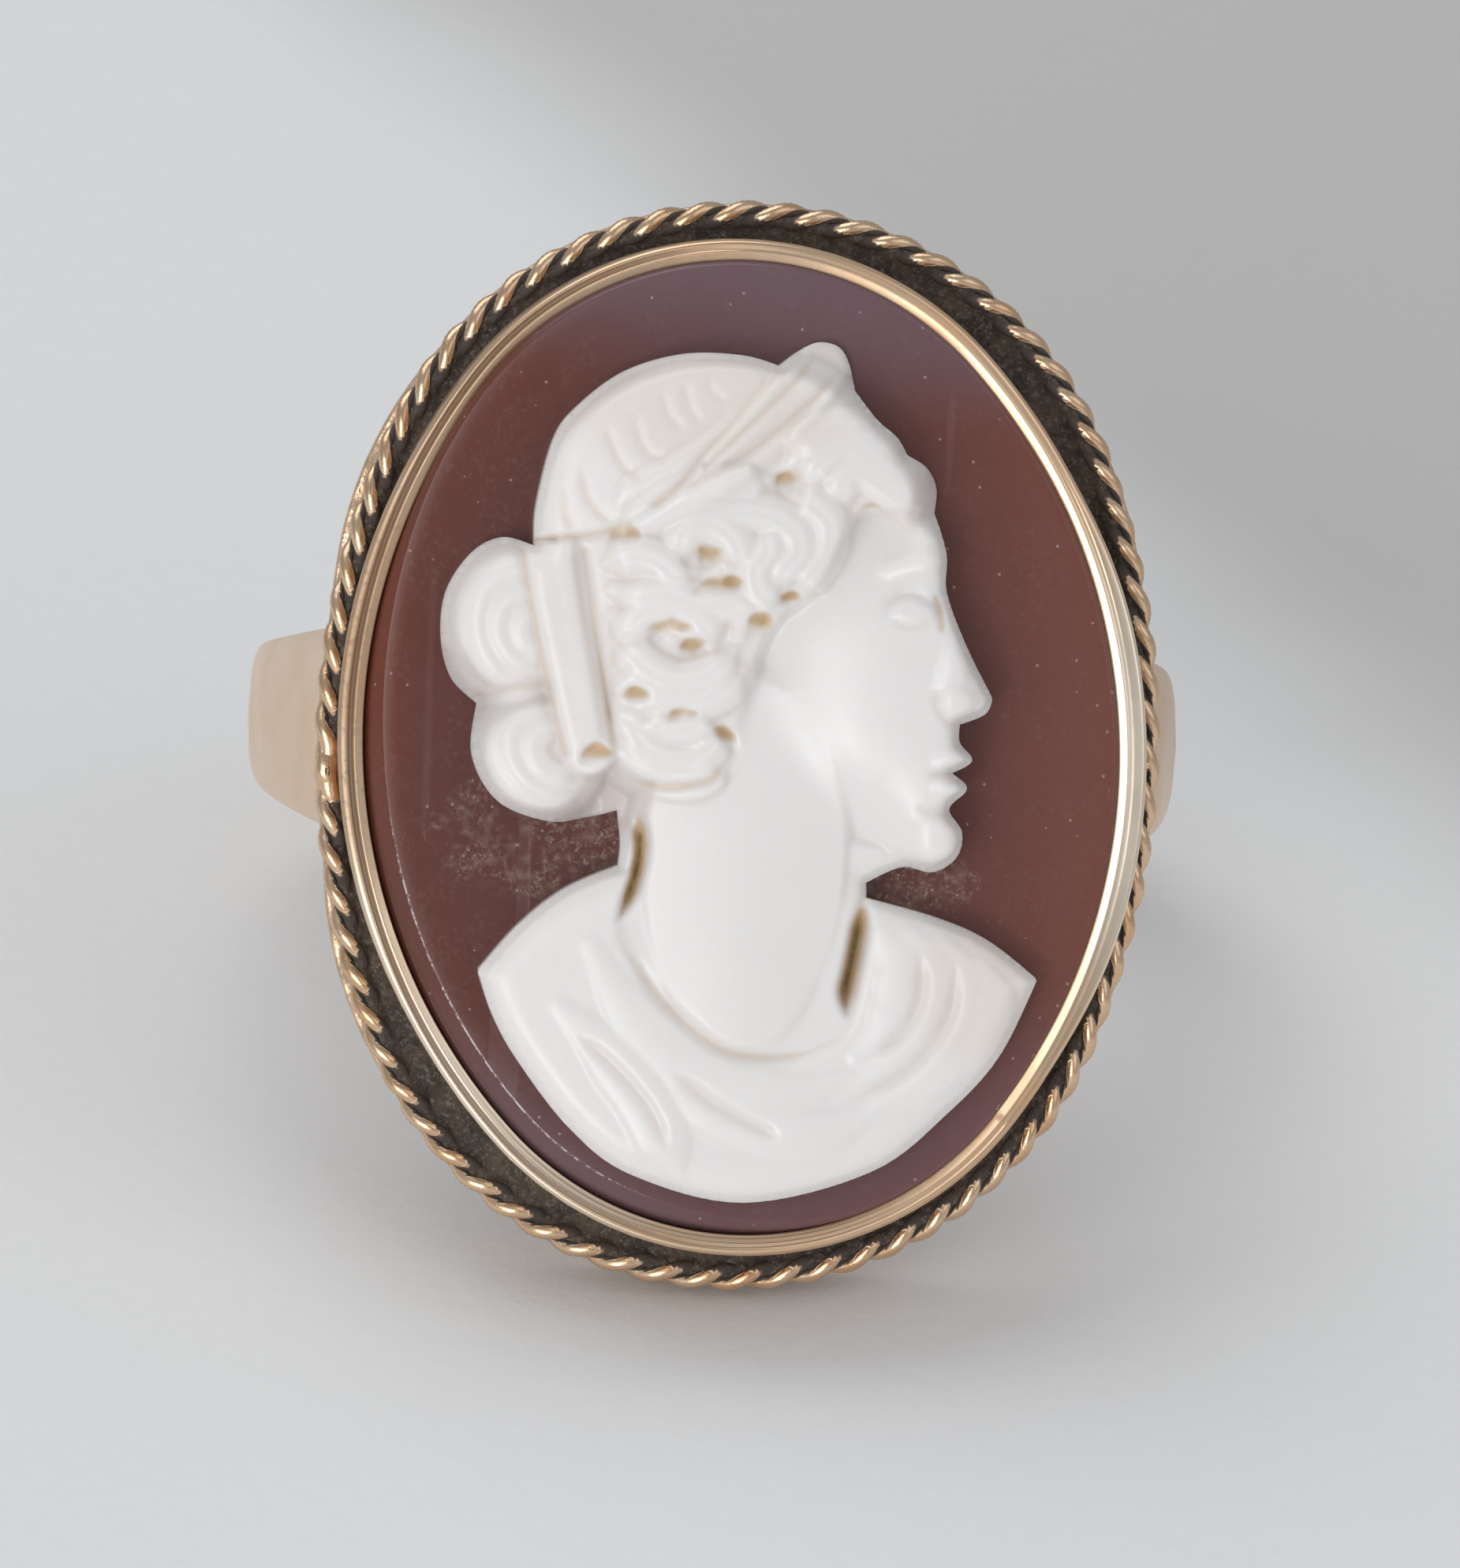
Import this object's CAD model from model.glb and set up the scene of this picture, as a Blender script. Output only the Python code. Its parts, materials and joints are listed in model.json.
"""A cameo ring: a carved bust, white on brown, in a gold collet with a twisted wire border.

Lengths in the sizes are metres. Inside the shape functions they are millimetres in
the ring's own frame: x across the face, y along its height, which is also the finger
hole's axis, and z out of the face, from the centre of the finger hole.
"""

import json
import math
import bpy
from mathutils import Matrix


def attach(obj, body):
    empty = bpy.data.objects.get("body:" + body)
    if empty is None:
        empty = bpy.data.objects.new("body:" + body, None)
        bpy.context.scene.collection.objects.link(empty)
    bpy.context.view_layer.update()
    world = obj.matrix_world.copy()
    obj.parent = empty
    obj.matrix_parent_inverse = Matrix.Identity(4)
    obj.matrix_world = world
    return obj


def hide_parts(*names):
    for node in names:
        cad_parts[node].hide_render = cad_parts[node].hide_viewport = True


bl_info = {
    "name": "Cameo ring",
    "version": (1, 0, 0),
    "blender": (4, 5, 0),
    "location": "3D View > Sidebar > Cameo ring",
    "description": "Carved oval cameo in a gold collet with a twisted wire border",
    "category": "Add Mesh",
}

from types import SimpleNamespace

import bpy
import numpy as np
from bpy.props import FloatProperty, FloatVectorProperty, IntProperty, PointerProperty
from mathutils import Matrix, Vector

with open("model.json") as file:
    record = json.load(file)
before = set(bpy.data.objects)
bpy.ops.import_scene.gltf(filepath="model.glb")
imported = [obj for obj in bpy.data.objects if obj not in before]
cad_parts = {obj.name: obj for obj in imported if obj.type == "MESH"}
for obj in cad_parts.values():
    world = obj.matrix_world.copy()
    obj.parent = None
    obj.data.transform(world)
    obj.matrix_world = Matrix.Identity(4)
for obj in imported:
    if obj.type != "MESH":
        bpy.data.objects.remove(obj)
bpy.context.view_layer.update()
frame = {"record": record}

MM = 0.001
BODY = "root"
HOLE = frame["record"]["mounts"][0]
HOLE_AT = np.array(HOLE["pos_m"]) / MM
_, SIN_LEAN, COS_LEAN = HOLE["axis"]
LEAN = math.atan2(SIN_LEAN, COS_LEAN)
RING_AXES = np.array([[1, 0, 0], [0, SIN_LEAN, COS_LEAN], [0, -COS_LEAN, SIN_LEAN]])


# Sizes and colours


def length(name, description, millimetres):
    return FloatProperty(
        name=name, description=description, default=millimetres * MM, unit="LENGTH", precision=5
    )


def angle(name, description, degrees):
    return FloatProperty(name=name, description=description, default=math.radians(degrees), subtype="ANGLE")


def share(name, description, value):
    return FloatProperty(name=name, description=description, default=value, subtype="FACTOR", min=0, max=1)


def colour(name, description, value):
    return FloatVectorProperty(
        name=name, description=description, default=value, subtype="COLOR", min=0, max=1
    )


class BandSizes(bpy.types.PropertyGroup):
    bore_r: length("Finger hole", "Radius of the finger hole", HOLE["dims"]["r_mm"])
    thick: length("Thickness", "Thickness of the band at its back", 1.1)
    back_w: length("Back width", "Width at the back of the finger", 2.3)
    side_w: length("Side width", "Width at the sides of the finger", 2.85)
    shoulder_w: length("Shoulder width", "Width where the band meets the head", 4.4)
    crown_r: length("Crown radius", "Radius of the dome across the outside", 7.5)


class HeadSizes(bpy.types.PropertyGroup):
    collet_w: length("Collet width", "Width over the outer wall", 15.66)
    collet_l: length("Collet length", "Length over the outer wall", 19.94)
    end_share: share("End radius", "Radius of the collet's ends, as a share of its half width", 0.845)
    flange_share: share("Flange end radius", "The same for the flange and its wire", 0.93)
    rail_share: share("Rail end radius", "The same for the base rail", 0.985)
    turn: angle("Turn", "Turn of the collet against the wire", 4)
    wall: length("Wall", "Thickness of the collet wall", 0.31)
    lip: length("Lip", "How far the rim is turned in over the stone", 0.12)
    ledge: length("Ledge", "Width of the ledge under the stone", 0.55)
    flange_side: length("Flange at the sides", "How far the flange stands out", 0.42)
    flange_end: length("Flange at the ends", "How far the flange stands out", 0.68)
    rail_side: length("Rail at the sides", "How far the base rail stands out", 0.3)
    rail_end: length("Rail at the ends", "How far the base rail stands out", 0.42)
    rail_z: length("Rail level", "Foot of the base rail above the finger's axis", 8.8)
    rail_h: length("Rail height", "Height of the base rail", 0.45)
    flange_z: length("Flange level", "Underside of the flange", 9.95)
    flange_t: length("Flange thickness", "Thickness of the flange", 0.45)
    rim_z: length("Rim level", "Top of the rim", 12.0)


class RopeSizes(bpy.types.PropertyGroup):
    over: length("Wire", "Diameter over the two strands", 0.52)
    lumps: IntProperty(name="Lumps", description="Lumps that show round the border", default=74, min=20)
    sink: length("Sink", "How far the wire is soldered into the flange", 0.06)


class StoneSizes(bpy.types.PropertyGroup):
    foot_z: length("Foot", "Underside of the brown layer", 10.35)
    table_z: length("Table", "Top of the brown layer", 12.2)
    bevel_h: length("Bevel height", "Height of the bevel", 0.45)
    bevel_w: length("Bevel width", "Width of the bevel", 0.55)
    gap: length("Clearance", "Clearance between the stone and its setting", 0.05)
    figure_h: length("Bust height", "From the lower edge to the top of the hair", 16.8)
    relief: length("Relief", "Height of the carving above the brown layer", 2.0)
    lean: angle("Lean", "Lean of the bust", 2)


class Colours(bpy.types.PropertyGroup):
    gold: colour("Gold", "Polished gold of the rim and the wire", (0.80, 0.57, 0.38))
    pale_gold: colour("Pale gold", "Brushed gold of the band", (0.90, 0.71, 0.54))
    copper: colour("Copper", "Redder patches of the gold", (0.72, 0.38, 0.17))
    black: colour("Black", "Blackened hollows of the wire", (0.078, 0.060, 0.049))
    brown: colour("Brown layer", "Brown layer of the stone", (0.125, 0.042, 0.036))
    rust: colour("Rust", "Brown layer near its edges", (0.150, 0.042, 0.022))
    glow: colour("Glow", "Brown layer at the right, where light comes through", (0.215, 0.078, 0.062))
    haze: colour("Haze", "Milky haze in the brown layer", (0.17, 0.118, 0.145))
    white: colour("White layer", "Carved layer", (0.86, 0.83, 0.815))
    blush: colour("Blush", "Pink tint in the shallow cuts", (0.78, 0.67, 0.57))
    stain: colour("Stain", "Old dirt in the deep cuts", (0.66, 0.46, 0.22))


class StageSizes(bpy.types.PropertyGroup):
    distance: length("Distance", "From the rim to the camera", 370)
    view_h: length("View height", "Height that the camera sees at the rim", 30.7)
    left: angle("Left", "Camera's angle to the left", 3)
    up: angle("Up", "Camera's angle upwards", 2)
    roll: angle("Roll", "Camera's roll", 2)
    aim_x: length("Aim across", "Point looked at, right of the rim's centre", -0.22)
    aim_y: length("Aim along", "Point looked at, above the rim's centre", -0.70)
    floor: colour("Floor", "Colour of the floor", (0.9, 0.9, 0.9))


def in_mm(group):
    """The values of a property group, with its lengths in millimetres."""
    values = {}
    for prop in group.bl_rna.properties:
        if prop.identifier not in ("rna_type", "name"):
            value = getattr(group, prop.identifier)
            values[prop.identifier] = value / MM if prop.unit == "LENGTH" else value
    return SimpleNamespace(**values)


# Meshes


def placed(points):
    """Points of the ring's frame, in millimetres, as places in the scene."""
    return (points @ RING_AXES + HOLE_AT) * MM


def grid_faces(rows, columns, closed=(True, True)):
    """Quads between neighbouring points of a grid, over its seams where it closes."""
    i = np.arange(rows if closed[0] else rows - 1)
    j = np.arange(columns if closed[1] else columns - 1)
    i, j = (k.ravel() for k in np.meshgrid(i, j, indexing="ij"))
    below, right = (i + 1) % rows, (j + 1) % columns
    corners = [i * columns + j, below * columns + j, below * columns + right, i * columns + right]
    return np.stack(corners, axis=1)


def fan(ring, centre):
    """Triangles from a closed ring of points to one centre point."""
    return np.stack([ring, np.roll(ring, -1), np.full(len(ring), centre)], axis=1)


def add_piece(name, points, faces, material, slot="gold", node="gold_mount", **marks):
    """A smooth mesh that rides on the ring and replaces a node of the solids.

    Without faces the points are a grid that closes both ways. Marks are a number for
    each point.
    """
    if faces is None:
        faces = [grid_faces(*points.shape[:2])]
    co = placed(np.asarray(points, float).reshape(-1, 3))
    thirds = [f[:, [0, k, k + 1]] for f in faces for k in range(1, f.shape[1] - 1)]
    a, b, c = (co[np.concatenate(thirds)[:, k]] - co[0] for k in range(3))
    if np.einsum("ij,ij->", a, np.cross(b, c)) < 0:
        faces = [f[:, ::-1] for f in faces]
    totals = np.concatenate([np.full(len(f), f.shape[1]) for f in faces])
    corners = np.concatenate([f.ravel() for f in faces])
    mesh = bpy.data.meshes.new(name)
    mesh.vertices.add(len(co))
    mesh.vertices.foreach_set("co", co.ravel())
    mesh.loops.add(len(corners))
    mesh.loops.foreach_set("vertex_index", corners)
    mesh.polygons.add(len(totals))
    mesh.polygons.foreach_set("loop_start", np.cumsum(totals) - totals)
    mesh.update(calc_edges=True)
    mesh.polygons.foreach_set("use_smooth", np.ones(len(totals), bool))
    mesh.materials.append(material)
    for mark, values in marks.items():
        layer = mesh.attributes.new(mark, "FLOAT", "POINT")
        layer.data.foreach_set("value", np.asarray(values, np.float32).ravel())
    piece = bpy.data.objects.new(name, mesh)
    bpy.context.scene.collection.objects.link(piece)
    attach(piece, BODY)
    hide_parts(node)


def smoothstep(low, high, value):
    t = np.clip((value - low) / (high - low), 0, 1)
    return t * t * (3 - 2 * t)


def value_noise(points, scale, seed):
    """Soft noise from -1 to 1: random numbers on a lattice, eased between its points."""
    rng = np.random.default_rng(seed)
    table = rng.uniform(-1, 1, 4096)
    p = np.asarray(points, float) / scale
    cell = np.floor(p).astype(np.int64)
    t = p - cell
    t = t * t * (3 - 2 * t)
    total = 0
    for corner in np.ndindex(*(2,) * p.shape[-1]):
        at = cell + np.array(corner)
        key = (at * np.array([73856093, 19349663, 83492791])[: p.shape[-1]]).sum(-1) % 4096
        weight = np.prod(np.where(np.array(corner) == 1, t, 1 - t), axis=-1)
        total = total + weight * table[key]
    return total


# Ovals and profiles


def oval(half_x, half_y, count, end_share, tilt=0):
    """Places and outward normals, evenly spaced round an oval of four arcs.

    The end arcs have a radius of end_share times the half width, and the side arcs are
    the ones that meet them without a corner. The oval is turned by tilt.
    """
    end_r = half_x * end_share
    end_c = half_y - end_r
    side_c = (end_c**2 - (half_x - end_r) ** 2) / (2 * (half_x - end_r))
    turn = math.atan2(end_c, side_c)
    centres = np.array([[-side_c, 0], [0, end_c], [side_c, 0], [0, -end_c]])
    radii = np.array([half_x + side_c, end_r] * 2)
    starts = np.array([-turn, turn, math.pi - turn, math.pi + turn])
    sweeps = np.array([2 * turn, math.pi - 2 * turn] * 2)
    ends = np.cumsum(radii * sweeps)
    run = np.linspace(0, ends[-1], count, endpoint=False)
    arc = np.searchsorted(ends, run, side="right")
    angle = starts[arc] + (run - ends[arc]) / radii[arc] + sweeps[arc]
    normal = np.stack([np.cos(angle), np.sin(angle)], axis=1)
    at = centres[arc] + radii[arc, None] * normal
    turned = np.array([[math.cos(tilt), math.sin(tilt)], [-math.sin(tilt), math.cos(tilt)]])
    return SimpleNamespace(at=at @ turned, normal=normal @ turned, run=run, round=ends[-1])


def carried(path, profile):
    """A profile carried round a path: each point stands off the path by the profile's
    first number, along the normal, and lies at the height of its second."""
    flat = path.at[:, None] + path.normal[:, None] * profile[..., :1]
    level = np.broadcast_to(profile[..., 1:], flat.shape[:2] + (1,))
    return np.concatenate([flat, level], axis=-1)


def rounded(corners, radius, steps=5):
    """A closed profile whose corners are short quadratic curves, which start and end
    at most a radius away from the corner, or at two fifths of a shorter side."""
    here = np.asarray(corners, float)
    sides = [np.roll(here, k, axis=-2) - here for k in (1, -1)]
    reach = [np.minimum(radius / np.linalg.norm(s, axis=-1, keepdims=True), 0.4) for s in sides]
    start, end = (here + s * r for s, r in zip(sides, reach))
    t = np.linspace(0, 1, steps)[:, None]
    start, mid, end = (p[..., None, :] for p in (start, here, end))
    curve = (1 - t) ** 2 * start + 2 * t * (1 - t) * mid + t**2 * end
    return curve.reshape(here.shape[:-2] + (-1, 2))


# Band


def band_grid(band, head, steps=480, across=64):
    """The band as a closed tube round the finger hole.

    At the angle a its outside is the nearest of three: the circle of its back, the long
    arc of a shoulder, and the level top under the head. Across, it is a bar rounded by
    the curve |x|^p + |y|^p = 1, with x over its width and y from the hole to the dome.
    """
    back_r = band.bore_r + band.thick
    top = head.rail_z + head.rail_h / 2
    inward = back_r - head.collet_w / 2 - head.rail_side / 2
    arc_r = (top**2 + inward**2) / (2 * inward)
    a = np.linspace(0, 2 * np.pi, steps, endpoint=False)[:, None]
    t = np.linspace(0, 2 * np.pi, across, endpoint=False)[None, :]
    p = 7
    x = np.sign(np.cos(t)) * np.abs(np.cos(t)) ** (2 / p)
    y = (np.sign(np.sin(t)) * np.abs(np.sin(t)) ** (2 / p) + 1) / 2
    offset = back_r - arc_r
    shoulder = offset * np.abs(np.cos(a)) + np.sqrt(arc_r**2 - (offset * np.sin(a)) ** 2)
    level = np.where(np.sin(a) > 0.05, top / np.maximum(np.sin(a), 0.05), 9e9)
    outer = np.where(np.sin(a) < 0, back_r, np.minimum(shoulder, level))
    up = (band.shoulder_w - band.side_w) / 2 / top
    down = (band.back_w - band.side_w) / 2 / back_r
    flare = (up + down) / (top + back_r)
    r = band.bore_r + (outer - band.bore_r) * y
    z = r * np.sin(a)
    v = x * (band.side_w / 2 + (up - flare * top) * z + flare * z**2)
    r = r - y * (band.crown_r - np.sqrt(band.crown_r**2 - v**2))
    return np.stack([r * np.cos(a), v, r * np.sin(a)], axis=-1)


def make_band(band, head, material):
    add_piece("band", band_grid(band, head), None, material)


# Head

COLLET_STEPS = 720
HOOP_STEPS = 480
RIM_ROUND = 0.05
HOOP_ROUND = 0.09
FOOT_INSET = 0.02
LEDGE_H = 0.35
WANDER = 0.007
# Depth of the rim's cut, at its shallowest and how much more at the left
CUT_LOW = 0.03
CUT_MORE = 0.09
CUT_AT = 0.175
WORN_RIGHT = 0.14
WORN_LEFT = 0.07


def section(count, rows):
    """A profile for each of count places, from rows of offset and height."""
    spread = [np.broadcast_arrays(np.zeros(count), *row)[1:] for row in rows]
    return np.stack([np.stack(row, axis=-1) for row in spread], axis=1)


def rim_profile(head, stone, path):
    """The collet's section round the oval: wall, turned rim with two beads and a cut
    between them, ledge and foot. The cut is deepest on the left, and the rim is worn
    wide at both sides."""
    low = stone.table_z - stone.bevel_h + stone.gap
    lip_z = low + head.lip * stone.bevel_h / stone.bevel_w
    seat = stone.foot_z - stone.gap
    top, foot = head.rim_z, head.rail_z + FOOT_INSET
    inner, lip, ledge = -head.wall, -head.wall - head.lip, -head.wall - head.ledge
    across = path.normal[:, 0]
    wander = WANDER * value_noise(path.run[:, None], 3.1, 3)
    cut = CUT_LOW + CUT_MORE * smoothstep(-0.2, 0.8, -across)
    wide = WORN_RIGHT * smoothstep(0.86, 0.995, across) + WORN_LEFT * smoothstep(0.85, 1.0, -across)
    rows = [(0, foot), (0, top - 0.45), (wide, top - 0.3), (wide, top - 0.15)]
    rows += [(wide - 0.05, top - 0.05 + wander), (-0.11 - wander, top - 0.03 + wander)]
    rows += [(-0.15 + wander, top - cut), (-0.2 + wander, top - cut)]
    rows += [(-0.24, top - 0.01 + wander), (-0.33, top - 0.03 + wander)]
    rows += [(lip + wander, lip_z + 0.05), (lip + wander, lip_z), (inner, low), (inner, seat)]
    rows += [(ledge, seat), (ledge, seat - LEDGE_H), (inner, seat - LEDGE_H - head.ledge), (inner, foot)]
    return section(len(path.at), rows)


def wall_gap(path, half, head):
    """How far a path lies outside the collet's wall, at each of its points."""
    wall = oval(*half, 2 * COLLET_STEPS, head.end_share, head.turn).at
    return np.linalg.norm(path.at[:, None] - wall[None], axis=2).min(axis=1)


def hoop_profile(path, half, head, low, height):
    """The section of a flat hoop that stands out from the collet and reaches into it."""
    inner = -wall_gap(path, half, head) - 0.6 * head.wall
    high = low + height
    return section(len(path.at), [(0, low), (0, high), (inner, high), (inner, low)])


def make_head(head, stone, materials):
    half = np.array([head.collet_w, head.collet_l]) / 2
    path = oval(*half, COLLET_STEPS, head.end_share, head.turn)
    profile = rounded(rim_profile(head, stone, path), RIM_ROUND)
    grid = carried(path, profile)
    offset, level = profile[..., 0], profile[..., 1]
    groove = smoothstep(0.06, 0.015, np.abs(offset + CUT_AT))
    groove = groove * smoothstep(0.02, 0.08, head.rim_z - level)
    add_piece("collet", grid, None, materials.rim, groove=groove, across=offset)
    hoops = {
        "flange": (head.flange_side, head.flange_end, head.flange_z, head.flange_t, head.flange_share),
        "base_rail": (head.rail_side, head.rail_end, head.rail_z, head.rail_h, head.rail_share),
    }
    for name, (side, end, low, height, ends) in hoops.items():
        path = oval(half[0] + side, half[1] + end, HOOP_STEPS, ends)
        grid = carried(path, rounded(hoop_profile(path, half, head, low, height), HOOP_ROUND))
        add_piece(name, grid, None, materials.foot)


# Twisted wire

# Where the wire's ends were soldered together, and where solder bridges two lumps
JOINT_AT = np.array([-8.05, -0.75])
BRIDGE_AT = np.array([7.95, -0.1])
SOLDER_CREST = 0.9


def rope_path(head, rope, count):
    inset = rope.over / 2 - rope.sink
    half = np.array([head.collet_w / 2 + head.flange_side, head.collet_l / 2 + head.flange_end]) - inset
    return oval(*half, count, head.flange_share)


def joint_share(path):
    """Where the ends of the wire were soldered together: 1 there, 0 elsewhere."""
    gap = np.linalg.norm(path.at - JOINT_AT, axis=1)
    return 1 - smoothstep(0.25, 0.95, gap)


def strand_grid(head, rope, phase, steps=18, around=14):
    """One strand: its centre circles the run of the border, once for every two lumps,
    centre = run + r (cos(turn) normal + sin(turn) up), and the strand is a tube round it."""
    turns = rope.lumps / 2
    path = rope_path(head, rope, int(turns * steps))
    joint = joint_share(path)[:, None]
    level = head.flange_z + head.flange_t + rope.over / 2 - rope.sink
    turn = (phase + 2 * np.pi * turns * path.run / path.round)[:, None]
    normal = np.concatenate([path.normal, np.zeros((len(path.at), 1))], axis=1)
    up = np.array([0, 0, 1])
    run = np.concatenate([path.at, np.full((len(path.at), 1), level)], axis=1)
    radial = np.cos(turn) * normal + np.sin(turn) * up
    uneven = 1 + 0.05 * value_noise(run, 1.1, 21)[:, None]
    centre = run + radial * rope.over / 4 * (1 - 0.75 * joint) * uneven
    ahead = np.roll(centre, -1, axis=0) - np.roll(centre, 1, axis=0)
    ahead /= np.linalg.norm(ahead, axis=1, keepdims=True)
    out = radial - ahead * (radial * ahead).sum(1, keepdims=True)
    out /= np.linalg.norm(out, axis=1, keepdims=True)
    side = np.cross(ahead, out)
    angle = np.linspace(0, 2 * np.pi, around, endpoint=False)[None, :, None]
    strand_r = rope.over / 4 * (1.12 + 0.55 * joint[:, :, None]) * uneven[:, :, None]
    tube = centre[:, None] + strand_r * (np.cos(angle) * out[:, None] + np.sin(angle) * side[:, None])
    spoke = (tube - run[:, None]) / (rope.over / 2)
    far = np.linalg.norm(spoke, axis=2)
    face = spoke @ up
    outward = (spoke * normal[:, None]).sum(2)
    worn = 0.3 + 0.7 * smoothstep(0.45, -0.35, normal[:, None, 1])
    outer = smoothstep(0.1, 0.75, outward) * worn
    crest = smoothstep(0.7 - 0.5 * outer, 0.95 - 0.45 * outer, far)
    crest = crest * smoothstep(-0.3, 0.2, 0.4 * face + outward)
    crest = np.maximum(crest, smoothstep(0.3, 0.8, joint) * smoothstep(-0.5, 0.3, face))
    return tube, crest


def blob(at, size, seed, steps=28):
    """A lump of solder: a ball stretched to size, uneven by soft noise."""
    lat = np.linspace(0, np.pi, steps)[1:-1, None]
    lon = np.linspace(0, 2 * np.pi, 2 * steps, endpoint=False)[None, :]
    rows = np.stack([np.sin(lat) * np.cos(lon), np.sin(lat) * np.sin(lon), np.cos(lat) + 0 * lon], axis=-1)
    ball = np.concatenate([rows.reshape(-1, 3), [[0, 0, 1], [0, 0, -1]]])
    ball = ball * (1 + 0.16 * value_noise(ball, 0.7, seed))[:, None]
    first, last = np.arange(2 * steps), np.arange(2 * steps) + (steps - 3) * 2 * steps
    poles = (steps - 2) * 2 * steps
    caps = np.concatenate([fan(first, poles)[:, ::-1], fan(last, poles + 1)])
    faces = [grid_faces(steps - 2, 2 * steps, (False, True)), caps]
    return ball * np.array(size) + np.array(at), faces


def make_rope(head, rope, material):
    grids = [strand_grid(head, rope, phase) for phase in (0, np.pi)]
    for name, (tube, crest) in zip(("strand_one", "strand_two"), grids):
        add_piece(name, tube, None, material, crest=crest)
    level = head.flange_z + head.flange_t
    lumps = {
        "solder_joint": ((*JOINT_AT, level + 0.22), (0.26, 0.55, 0.26), 5),
        "solder_bridge": ((*BRIDGE_AT, level + 0.2), (0.3, 0.2, 0.24), 8),
    }
    for name, lump in lumps.items():
        points, faces = blob(*lump)
        add_piece(name, points, faces, material, crest=np.full(len(points), SOLDER_CREST))


def make_blackening(head, rope, material):
    """Old polish and oxide between the wire and the wall: a crust on the flange that
    climbs into the hollows of the wire, roughened by noise."""
    path = rope_path(head, rope, 1400)
    half = np.array([head.collet_w, head.collet_l]) / 2
    reach = wall_gap(path, half, head) + 0.06
    q = np.linspace(0, 1, 16)
    offset = -reach[:, None] * (1 - q)
    at = path.at[:, None] + path.normal[:, None] * offset[..., None]
    rough = value_noise(at, 0.11, 31) + 0.7 * value_noise(at, 0.05, 32)
    near_wire = smoothstep(-0.34, -0.12, offset)
    height = 0.13 + 0.19 * near_wire + 0.055 * rough
    level = head.flange_z + head.flange_t
    top = np.stack([offset, level + height], axis=-1)
    foot = np.stack([offset[:, ::-1], np.full_like(offset, level - 0.05)], axis=-1)
    add_piece("blackening", carried(path, np.concatenate([top, foot], axis=1)), None, material)


# Stone


def make_ground(head, stone, material):
    """The brown layer: rings of the oval from the middle of the table out over its
    edge, down the bevel and the girdle, and back to the middle of the foot."""
    inset = head.wall + stone.gap
    half = np.array([head.collet_w, head.collet_l]) / 2 - inset
    path = oval(*half, HOOP_STEPS, head.end_share, head.turn)
    lower_left = smoothstep(0.25, 0.95, path.normal @ np.array([-0.76, -0.65]))
    bevel = stone.bevel_w * (0.25 + 0.65 * lower_left)
    girdle = stone.table_z - stone.bevel_h
    rows = [(-bevel - 0.05, stone.table_z), (-bevel - 0.015, stone.table_z - 0.004)]
    rows += [(-bevel + 0.02, stone.table_z - 0.03), (-0.03, girdle + 0.03), (0, girdle)]
    rows += [(0, stone.foot_z + 0.05), (-0.05, stone.foot_z)]
    shell = np.swapaxes(carried(path, section(len(path.at), rows)), 0, 1)
    shares = np.linspace(0.04, 0.96, 24)[:, None, None] * np.array([1, 1, 0])
    top = shell[:1] * shares + np.array([0, 0, stone.table_z])
    foot = shell[-1:] * shares[::-1] + np.array([0, 0, stone.foot_z])
    rings = np.concatenate([top, shell, foot])
    middle = np.array([[0, 0, stone.table_z], [0, 0, stone.foot_z]])
    points = np.concatenate([rings.reshape(-1, 3), middle])
    count, last = rings.shape[1], (rings.shape[0] - 1) * rings.shape[1]
    first_ring, last_ring = np.arange(count), last + np.arange(count)
    total = last + count
    faces = [grid_faces(*rings.shape[:2], (False, True))]
    faces.append(np.concatenate([fan(first_ring, total)[:, ::-1], fan(last_ring, total + 1)]))
    edge = np.zeros(rings.shape[:2])
    edge[len(top) + 1] = smoothstep(0.5, 0.9, path.normal @ np.array([-0.9, -0.44]))
    edge[len(top) + 1] *= smoothstep(-0.6, -2.4, path.at[:, 1])
    shade = np.zeros(rings.shape[:2])
    shade[len(top) + 3 :] = 1
    marks = {"edge": np.append(edge, [0, 0]), "shade": np.append(shade, [0, 1])}
    add_piece("brown_layer", points, faces, material, "brown_layer", "cameo_ground", **marks)


# Carved figure
#
# It is drawn in hand-sized units, 168 from the lower edge of the bust to the top of
# the hair, and its heights are hundredths of the height of the carving.

OUTLINE = [
    [(57.5, -45), (50, -60), (40, -71), (25, -82.5), (0, -88.5),
     (-22, -83), (-34, -74), (-44, -61), (-49, -52), (-52, -43)],
    [(-52, -43), (-44, -34), (-35, -27), (-24.5, -22.5)],
    [(-24.5, -22.5), (-24, -18), (-24.5, -12)],
    [(-24.5, -12), (-31, -13.5), (-38, -14), (-48, -10), (-53, -1), (-52, 9)],
    [(-52, 9), (-57, 14), (-59, 22), (-58, 31), (-53, 38.5), (-47, 41.5), (-41, 40)],
    [(-41, 40), (-40.5, 48), (-37, 61), (-32, 67.5), (-23, 74), (-11.5, 77.3), (0, 77), (7, 75)],
    [(7, 75), (11, 77.8), (15, 79.5), (19, 78.5), (21, 75), (22, 70)],
    [(22, 70), (26, 64.5), (30, 61), (32, 57.5)],
    [(32, 57.5), (36, 55), (38, 51), (37.5, 46)],
    [(37.5, 46), (39.5, 38), (39.5, 31), (43, 21), (48.5, 10)],
    [(48.5, 10), (47, 7), (42, 5)],
    [(42, 5), (42, 1.5), (44.5, -2), (40.5, -4.5)],
    [(40.5, -4.5), (43.5, -7.5), (40, -11.5), (42.5, -16), (41.5, -21), (37, -24), (31, -23), (24, -26)],
    [(24, -26), (24, -29)],
    [(24, -29), (38, -33), (48, -37.5), (57.5, -45)],
]
UNITS_HIGH = 168
CELL = 0.42
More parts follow.
